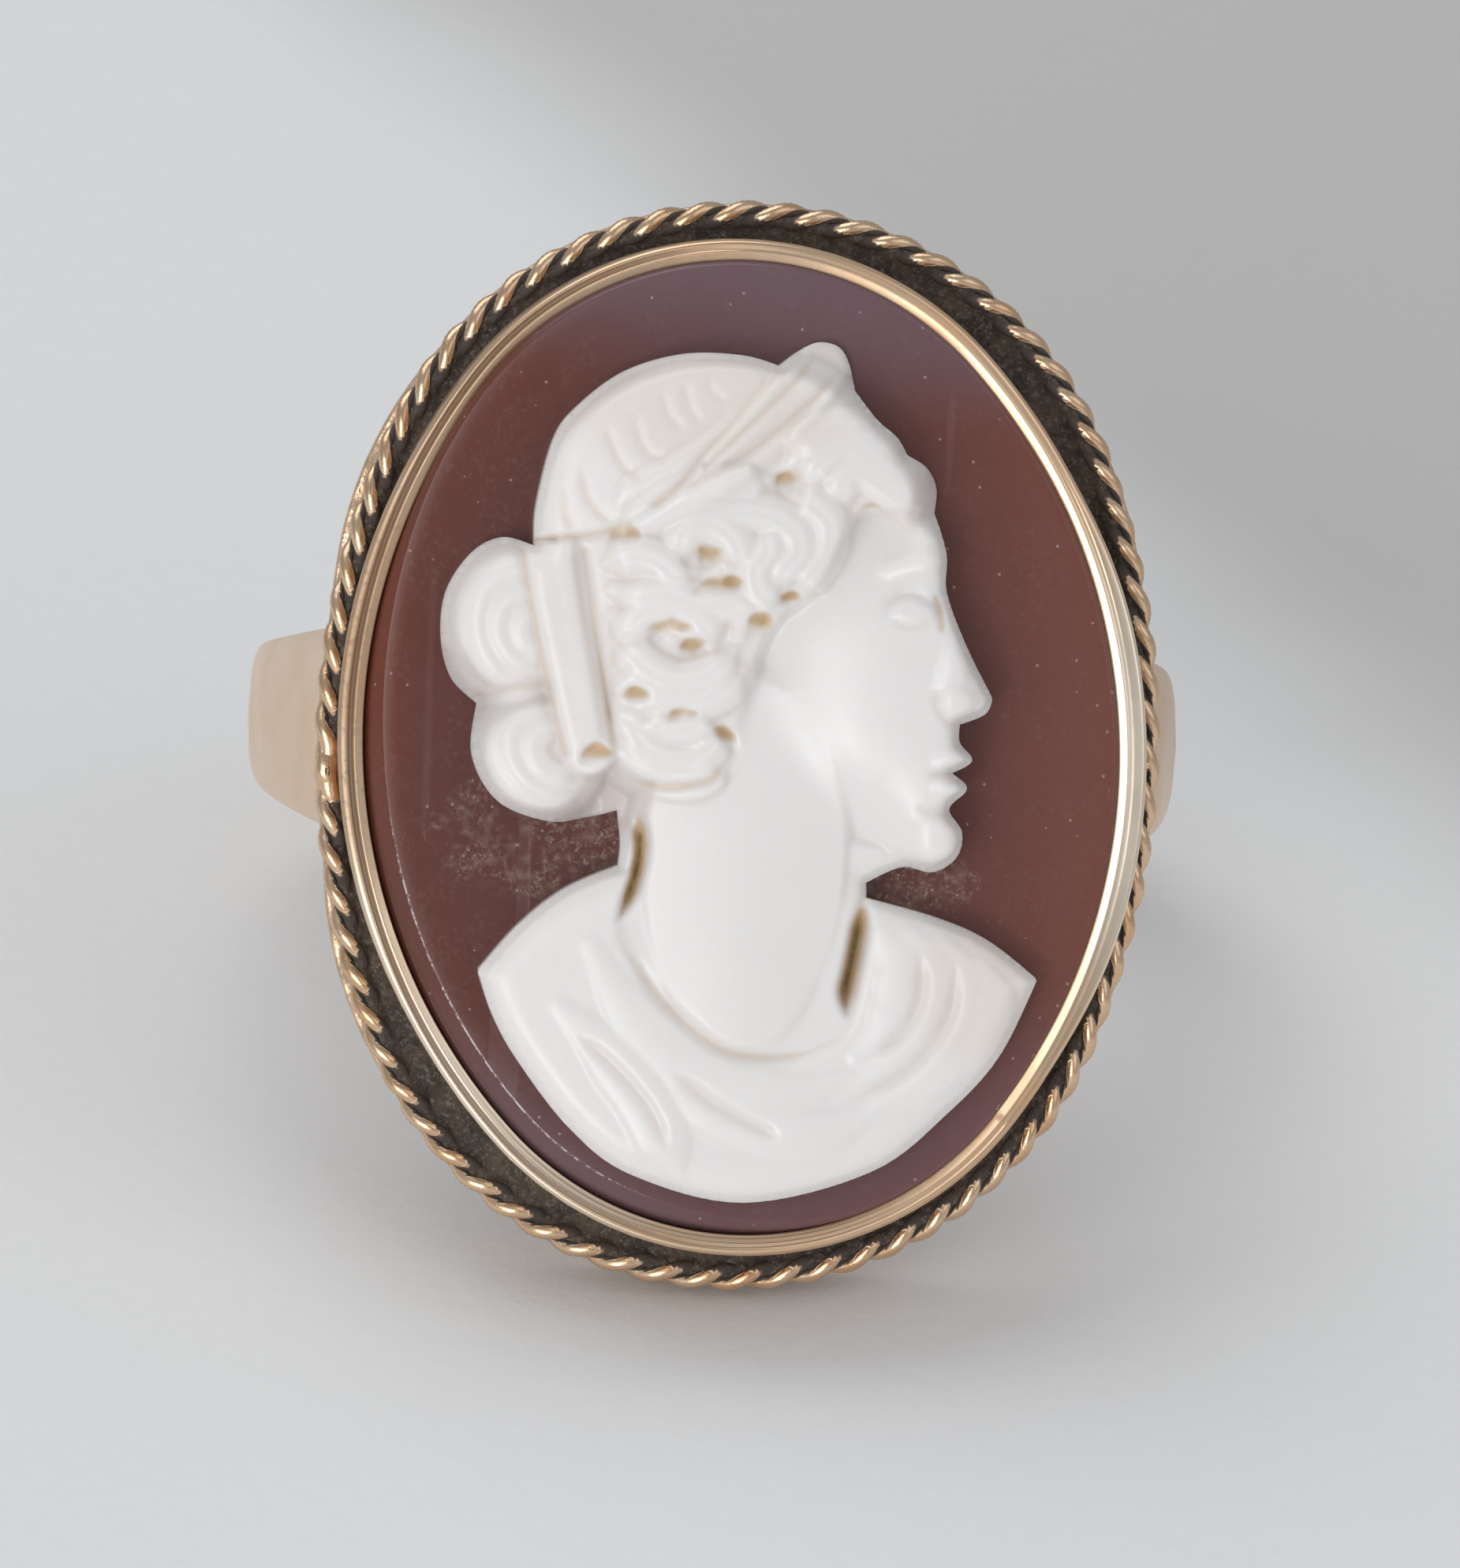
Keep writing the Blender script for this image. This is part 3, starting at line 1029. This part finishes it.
class Finish:
    """A material with one Principled shader, whose patterns are in ring millimetres."""

    def __init__(self, name):
        self.material = bpy.data.materials.new(name)
        self.material.use_nodes = True
        self.tree = self.material.node_tree
        self.tree.nodes.clear()
        coords = self.node("ShaderNodeTexCoord")
        turned = {"Vector": coords.outputs["Object"], "Location": tuple(HOLE_AT * MM)}
        turned |= {"Rotation": (math.pi / 2 - LEAN, 0, 0), "Scale": (MM, MM, MM)}
        self.place = self.node("ShaderNodeMapping", {"vector_type": "TEXTURE"}, turned).outputs[0]
        parts = self.node("ShaderNodeSeparateXYZ", {}, {0: self.place})
        self.x, self.y, self.z = (Number(self, out) for out in parts.outputs)

    def node(self, kind, settings=None, inputs=None):
        node = self.tree.nodes.new(kind)
        for key, value in (settings or {}).items():
            if key == "stops":
                self.set_stops(node.color_ramp, value)
            else:
                setattr(node, key, value)
        for key, value in (inputs or {}).items():
            if isinstance(value, Number):
                value = value.socket
            socket = node.inputs[key]
            if isinstance(value, bpy.types.NodeSocket):
                self.tree.links.new(value, socket)
            elif socket.type == "RGBA":
                socket.default_value = (*value, 1)
            else:
                socket.default_value = value
        return node

    @staticmethod
    def set_stops(ramp, stops):
        while len(ramp.elements) < len(stops):
            ramp.elements.new(1)
        for element, (position, value) in zip(ramp.elements, stops):
            element.position = position
            element.color = (value, value, value, 1)

    def noise(self, size, detail=3, rough=0.55, stretch=None, seed=0.0):
        """Soft noise from 0 to 1 whose grains are about size millimetres."""
        place = self.place
        if stretch:
            settings = {"operation": "MULTIPLY"}
            place = self.node("ShaderNodeVectorMath", settings, {0: place, 1: stretch}).outputs[0]
        inputs = {"Vector": place, "Scale": 1 / size, "Detail": detail, "Roughness": rough, "W": seed}
        node = self.node("ShaderNodeTexNoise", {"noise_dimensions": "4D"}, inputs)
        return Number(self, node.outputs[0])

    def specks(self, size, threshold):
        """Small separate grains: 1 inside, 0 outside."""
        settings = {"feature": "F1"}
        node = self.node("ShaderNodeTexVoronoi", settings, {"Vector": self.place, "Scale": 1 / size})
        return 1 - Number(self, node.outputs["Distance"]).between(threshold * 0.5, threshold)

    def ellipse(self, x, y, half_w, half_h):
        """1 inside an ellipse of the face, fading to 0 outside."""
        dx, dy = (self.x - x) * (1 / half_w), (self.y - y) * (1 / half_h)
        return 1 - (dx * dx + dy * dy).between(0.2, 1.0)

    def mark(self, name):
        node = self.node("ShaderNodeAttribute", {"attribute_name": name})
        return Number(self, node.outputs["Fac"])

    def mix(self, amount, first, second):
        """A colour between two colours."""
        inputs = {"Factor": amount, 6: first, 7: second}
        return self.node("ShaderNodeMix", {"data_type": "RGBA"}, inputs).outputs[2]

    def bump(self, height, distance):
        inputs = {"Height": height, "Distance": distance * MM, "Strength": 1.0}
        return self.node("ShaderNodeBump", {}, inputs).outputs[0]

    def done(self, **inputs):
        """Ends the material in its shader, with sockets named by keyword."""
        named = {key.replace("_", " "): value for key, value in inputs.items()}
        shader = self.node("ShaderNodeBsdfPrincipled", {}, named)
        self.node("ShaderNodeOutputMaterial", {}, {"Surface": shader.outputs[0]})
        return self.material


def rim_gold(c):
    """Worn polish: soft dents, fine scratches, redder patches and dark in the cuts."""
    f = Finish("rim_gold")
    patches = f.noise(2.6, detail=4, seed=1).between(0.42, 0.68)
    scratches = f.noise(0.07, detail=2, stretch=(1, 1, 0.3), seed=2)
    dents = f.noise(0.9, detail=2, seed=3)
    grime = f.noise(0.16, detail=4, seed=4).between(0.5, 0.75)
    side = 1 - f.z.between(11.55, 11.8)
    across = f.mark("across") + f.noise(2.2, detail=1, seed=27) * 0.03
    turned = across.wave(0.088).between(0.0, 0.8) * (across * -1).between(0.11, 0.15)
    low = (f.y * -1 + f.x * -0.15).between(7, 9.4)
    left = (f.x * -1).between(5.5, 7.8) * (f.y + 4.5).between(0, 3)
    lines = turned * (low * 0.85).over(left * 0.1).over(0.05)
    dark = (side * (grime * 0.6 + 0.4)).over(f.mark("groove") * 0.8).over(lines)
    dark = dark.over(left * (grime * 0.3 + 0.42))
    bright = (f.x * -0.72 + f.y * -0.62).between(6.4, 8.6).over(f.x.between(6.6, 7.8))
    colour = f.mix(patches * 0.35, c.gold, c.copper)
    colour = f.mix(bright * 0.9, colour, (1.0, 0.88, 0.72))
    colour = f.mix(dark * 0.85, colour, c.black)
    height = dents * 0.12 + scratches * 0.006
    return f.done(
        Base_Color=colour,
        Metallic=1 - dark * 0.8,
        Roughness=0.24 + patches * 0.08 + dark * 0.4,
        Normal=f.bump(height, 0.05),
    )


def foot_gold(c):
    """Flange and base rail: gold with blackening in the angles."""
    f = Finish("foot_gold")
    grime = f.noise(0.35, detail=4, seed=5).between(0.4, 0.7)
    grain = f.noise(0.1, detail=3, seed=6)
    colour = f.mix(grime * 0.5, c.gold, c.black)
    return f.done(
        Base_Color=colour,
        Metallic=1 - grime * 0.5,
        Roughness=0.3 + grime * 0.4,
        Normal=f.bump(grain, 0.03),
    )


def band_gold(c):
    """Softly brushed: fine lines round the band, a few scratches and dull patches."""
    f = Finish("band_gold")
    brushed = f.noise(0.05, detail=2, stretch=(0.25, 1, 0.25), seed=7)
    patches = f.noise(1.8, detail=4, seed=8).between(0.35, 0.75)
    scratch = f.noise(0.5, detail=1, stretch=(1, 0.12, 1), seed=9).between(0.62, 0.68)
    colour = f.mix(patches * 0.2, c.pale_gold, c.copper)
    return f.done(
        Base_Color=colour,
        Metallic=1.0,
        Roughness=0.3 + brushed * 0.12 + patches * 0.08,
        Normal=f.bump(brushed * 0.12 + scratch * 0.12, 0.02),
    )


def wire_gold(c):
    """Bright on the crests of the strands, black in their hollows."""
    f = Finish("wire_gold")
    grain = f.noise(0.12, detail=4, seed=10)
    crest = (f.mark("crest") + (grain - 0.5) * 0.5).between(0.3, 0.62)
    patches = f.noise(1.1, detail=2, seed=11).between(0.4, 0.7)
    colour = f.mix(patches * 0.5, c.gold, c.copper)
    colour = f.mix(crest, c.black, colour)
    return f.done(
        Base_Color=colour,
        Metallic=crest,
        Roughness=0.75 - crest * 0.5,
        Normal=f.bump(grain * (1.2 - crest), 0.04),
    )


def blackened(c):
    """Black-brown crust with a few paler grains."""
    f = Finish("blackened")
    grain = f.noise(0.06, detail=4, rough=0.7, seed=12)
    rusty = f.noise(0.7, detail=3, seed=24).between(0.4, 0.7)
    pale = f.noise(0.09, detail=3, seed=13).between(0.5, 0.7)
    glint = f.noise(0.05, detail=2, rough=0.7, seed=26).between(0.6, 0.72)
    colour = f.mix(rusty, c.black, (0.15, 0.112, 0.080))
    colour = f.mix(pale * 0.65, colour, (0.29, 0.25, 0.215))
    colour = f.mix(glint * 0.7, colour, (0.5, 0.45, 0.4))
    return f.done(
        Base_Color=colour,
        Metallic=0.0,
        Roughness=0.62 + grain * 0.2 - glint * 0.25,
        Normal=f.bump(grain, 0.07),
    )


def brown_stone(c):
    """Polished and a little clear: redder near the sides, hazy near the top, with
    scratches, and pale dust under the knot and the chin."""
    f = Finish("brown_stone")
    cloud = f.noise(3.5, detail=2, seed=14)
    edge = (f.x * f.x * (1 / 54.0) + f.y * f.y * (1 / 90.0)).between(0.5, 1.02)
    haze = (f.y + f.x * 0.1 + cloud * 1.5).between(7.2, 10.2)
    haze = haze.over((f.y * -1 - f.x * 0.5).between(7.4, 10.6) * 0.85)
    haze = haze.over((f.x * 0.4 - f.y).between(6.5, 9.5) * 0.55)
    glow = f.x.between(1.5, 8.5)
    colour = f.mix(edge * (0.4 + cloud * 0.4), c.brown, c.rust)
    colour = f.mix(glow * 0.7, colour, c.glow)
    colour = f.mix(haze * 0.75, colour, c.haze)
    dusty = f.ellipse(-3.8, -1.8, 2.6, 1.5).over(f.ellipse(3.3, -2.6, 1.7, 0.9)).over(0.06)
    fine = f.noise(0.11, detail=4, rough=0.75, seed=15).between(0.5, 0.66)
    dust = fine * f.noise(0.8, detail=2, seed=25).between(0.36, 0.58) * dusty
    smear = f.noise(0.25, detail=4, seed=16).between(0.45, 0.8) * dusty * 0.4
    left_glow = (f.x * -1).between(6.2, 7.5) * (f.y + 3.5).between(0, 3) * (6 - f.y).between(0, 3)
    colour = f.mix(left_glow * 0.7, colour, (0.19, 0.045, 0.022))
    colour = f.mix((dust * 0.8).over(smear), colour, (0.42, 0.33, 0.24))
    colour = f.mix(f.specks(0.42, 0.09) * 0.4, colour, (0.6, 0.5, 0.42))
    colour = f.mix(f.mark("shade").between(0.35, 1.0) * 0.85, colour, (0.022, 0.007, 0.005))
    chips = f.noise(0.13, detail=3, rough=0.7, seed=28).between(0.42, 0.6)
    chipped = f.mark("edge").between(0.3, 0.9) * chips
    colour = f.mix(chipped * 0.8, colour, (0.72, 0.69, 0.71))
    scratch = f.noise(0.9, detail=1, stretch=(1, 0.08, 1), seed=17).between(0.66, 0.69)
    return f.done(
        Base_Color=colour,
        Roughness=0.16 + dust * 0.5 + scratch * 0.15,
        Normal=f.bump(dust * 0.5 + scratch * -0.1, 0.02),
        Subsurface_Weight=0.25,
        Subsurface_Radius=(1.0, 0.35, 0.25),
        Subsurface_Scale=0.0006,
        Specular_IOR_Level=0.45,
    )


def white_stone(c):
    """Milky and soft-edged: brown shows through where it is thin, dirt lies in the deep
    cuts and a pink tint in the shallow ones."""
    f = Finish("white_stone")
    cloud = f.noise(3.0, detail=2, seed=18)
    grain = f.noise(0.22, detail=3, seed=19)
    thin = 1 - f.mark("thick").between(0.0, 0.32)
    stain = (f.mark("stain") * (0.6 + grain * 0.8)).between(0.1, 0.95)
    deep = f.mark("stain").between(0.84, 1.0) * grain.between(0.25, 0.6)
    blush = f.mark("blush") * 0.55
    top_pink = f.ellipse(-1.0, 6.6, 3.4, 1.4).over(f.ellipse(4.6, -4.6, 1.6, 1.6)) * 0.35
    colour = f.mix(blush.over(top_pink) + cloud * 0.08, c.white, c.blush)
    colour = f.mix(thin * 0.4, colour, (0.42, 0.27, 0.22))
    colour = f.mix(stain * 0.9, colour, c.stain)
    colour = f.mix(deep * 0.65, colour, (0.16, 0.11, 0.06))
    soft = f.noise(0.35, detail=2, seed=20)
    return f.done(
        Base_Color=colour,
        Roughness=0.27 + cloud * 0.1 + stain * 0.35,
        Normal=f.bump(soft * 0.35 + grain * 0.1, 0.03),
        Subsurface_Weight=0.55,
        Subsurface_Radius=(1.0, 0.75, 0.6),
        Subsurface_Scale=0.0005,
        Specular_IOR_Level=0.5,
    )


# Stage

FLOOR_HALF = 0.6
SQUARE = [(-1, -1), (1, -1), (1, 1), (-1, 1)]
SKY_COLOUR = (0.92, 0.96, 1.0, 1)
SKY_STRENGTH = 0.4
SENSOR = 36
# Lights: name, direction, distance, size and watts
LIGHTS = [
    ("key", (-0.4, -0.85, 0.32), 0.5, 0.34, 0.78),
    ("bounce", (-0.35, -0.933, 0.084), 0.5, 0.09, 0.24),
    ("fill", (0.75, -0.6, 0.7), 0.6, 0.45, 0.36),
    ("top", (-0.3, 0.4, 1.0), 0.6, 0.5, 1.05),
]


def aim(obj, at, target, up=Vector((0, 0, 1))):
    """Turns a light or camera at a place so that it looks at a target."""
    back = (Vector(at) - Vector(target)).normalized()
    side = Vector(up).cross(back).normalized()
    turn = Matrix((side, back.cross(side), back)).transposed()
    obj.matrix_world = Matrix.Translation(at) @ turn.to_4x4()


def add_light(name, direction, distance, size, watts):
    """A square soft light seen from the ring along a direction of the scene."""
    light = bpy.data.lights.new(name, "AREA")
    light.size = size
    light.energy = watts
    lamp = bpy.data.objects.new(name, light)
    bpy.context.scene.collection.objects.link(lamp)
    target = Vector((0, 0, 0.008))
    aim(lamp, target + Vector(direction).normalized() * distance, target)


def make_stage(stage, head):
    scene = bpy.context.scene
    scene.view_settings.view_transform = "Standard"
    mesh = bpy.data.meshes.new("floor")
    mesh.from_pydata([(x * FLOOR_HALF, y * FLOOR_HALF, 0) for x, y in SQUARE], [], [(0, 1, 2, 3)])
    floor = bpy.data.objects.new("floor", mesh)
    scene.collection.objects.link(floor)
    f = Finish("floor_paper")
    grain = f.noise(0.5, detail=3, seed=22)
    shade = (f.x * 0.6 + f.y * 0.8 + f.noise(9, detail=1, seed=23) * 2).between(6.5, 12.5)
    colour = f.mix(shade * 0.48, stage.floor, (0.34, 0.30, 0.265))
    colour = f.mix(grain * 0.12, colour, (0.7, 0.7, 0.7))
    normal = f.bump(grain, 0.02)
    mesh.materials.append(f.done(Base_Color=colour, Roughness=0.9, Normal=normal, Specular_IOR_Level=0.2))

    world = bpy.data.worlds.new("studio")
    world.use_nodes = True
    sky = world.node_tree.nodes["Background"].inputs
    sky["Color"].default_value = SKY_COLOUR
    sky["Strength"].default_value = SKY_STRENGTH
    scene.world = world
    for light in LIGHTS:
        add_light(*light)

    axes = [Vector(axis) for axis in RING_AXES]
    rim = Vector(placed(np.array([0, 0, head.rim_z])))
    look = axes[2] * math.cos(stage.left) * math.cos(stage.up) - axes[0] * math.sin(stage.left)
    look += axes[1] * math.sin(stage.up)
    look.normalize()
    up = Matrix.Rotation(stage.roll, 3, look) @ axes[1]
    side = up.cross(look).normalized()
    target = rim + (side * stage.aim_x + up * stage.aim_y) * MM
    data = bpy.data.cameras.new("camera")
    data.sensor_fit = "VERTICAL"
    data.sensor_height = SENSOR
    data.lens = SENSOR * stage.distance / stage.view_h
    data.clip_start = 0.01
    camera = bpy.data.objects.new("camera", data)
    scene.collection.objects.link(camera)
    aim(camera, target + look * stage.distance * MM, target, up)
    scene.camera = camera


# Operators


def sizes(context, *names):
    """Groups of sizes, with their lengths in millimetres."""
    return [in_mm(getattr(context.scene, "cameo_" + name)) for name in names]


class CAMEO_OT_band(bpy.types.Operator):
    """Make the band"""

    bl_idname = "cameo.band"
    bl_label = "Band"

    def execute(self, context):
        make_band(*sizes(context, "band", "head"), band_gold(context.scene.cameo_colours))
        return {"FINISHED"}


class CAMEO_OT_head(bpy.types.Operator):
    """Make the collet with its rim, flange and base rail"""

    bl_idname = "cameo.head"
    bl_label = "Collet"

    def execute(self, context):
        colours = context.scene.cameo_colours
        golds = SimpleNamespace(rim=rim_gold(colours), foot=foot_gold(colours))
        make_head(*sizes(context, "head", "stone"), golds)
        return {"FINISHED"}


class CAMEO_OT_rope(bpy.types.Operator):
    """Make the twisted wire border with its solder and blackening"""

    bl_idname = "cameo.rope"
    bl_label = "Twisted wire"

    def execute(self, context):
        colours = context.scene.cameo_colours
        head, rope = sizes(context, "head", "rope")
        make_rope(head, rope, wire_gold(colours))
        make_blackening(head, rope, blackened(colours))
        return {"FINISHED"}


class CAMEO_OT_ground(bpy.types.Operator):
    """Make the brown layer of the stone"""

    bl_idname = "cameo.ground"
    bl_label = "Brown layer"

    def execute(self, context):
        make_ground(*sizes(context, "head", "stone"), brown_stone(context.scene.cameo_colours))
        return {"FINISHED"}


class CAMEO_OT_figure(bpy.types.Operator):
    """Make the carved bust"""

    bl_idname = "cameo.figure"
    bl_label = "Carved bust"

    def execute(self, context):
        make_figure(*sizes(context, "stone"), white_stone(context.scene.cameo_colours))
        return {"FINISHED"}


class CAMEO_OT_stage(bpy.types.Operator):
    """Make the floor, the lights and the camera"""

    bl_idname = "cameo.stage"
    bl_label = "Stage"

    def execute(self, context):
        make_stage(*sizes(context, "stage", "head"))
        return {"FINISHED"}


STEPS = (CAMEO_OT_band, CAMEO_OT_head, CAMEO_OT_rope, CAMEO_OT_ground, CAMEO_OT_figure, CAMEO_OT_stage)
GROUPS = {
    "cameo_band": BandSizes,
    "cameo_head": HeadSizes,
    "cameo_rope": RopeSizes,
    "cameo_stone": StoneSizes,
    "cameo_colours": Colours,
    "cameo_stage": StageSizes,
}


class CAMEO_PT_panel(bpy.types.Panel):
    """Lists the steps of the ring and their sizes"""

    bl_label = "Cameo ring"
    bl_idname = "CAMEO_PT_panel"
    bl_space_type = "VIEW_3D"
    bl_region_type = "UI"
    bl_category = "Cameo ring"

    def draw(self, context):
        for step in STEPS:
            self.layout.operator(step.bl_idname)
        for name, group in GROUPS.items():
            box = self.layout.box()
            for key in group.__annotations__:
                box.prop(getattr(context.scene, name), key)


def register():
    for cls in (*GROUPS.values(), *STEPS, CAMEO_PT_panel):
        bpy.utils.register_class(cls)
    for name, group in GROUPS.items():
        setattr(bpy.types.Scene, name, PointerProperty(type=group))


def unregister():
    for name in GROUPS:
        delattr(bpy.types.Scene, name)
    for cls in (CAMEO_PT_panel, *STEPS[::-1], *GROUPS.values()):
        bpy.utils.unregister_class(cls)


def main():
    register()
    for step in STEPS:
        getattr(bpy.ops.cameo, step.bl_idname.split(".")[1])()


if __name__ == "__main__":
    main()
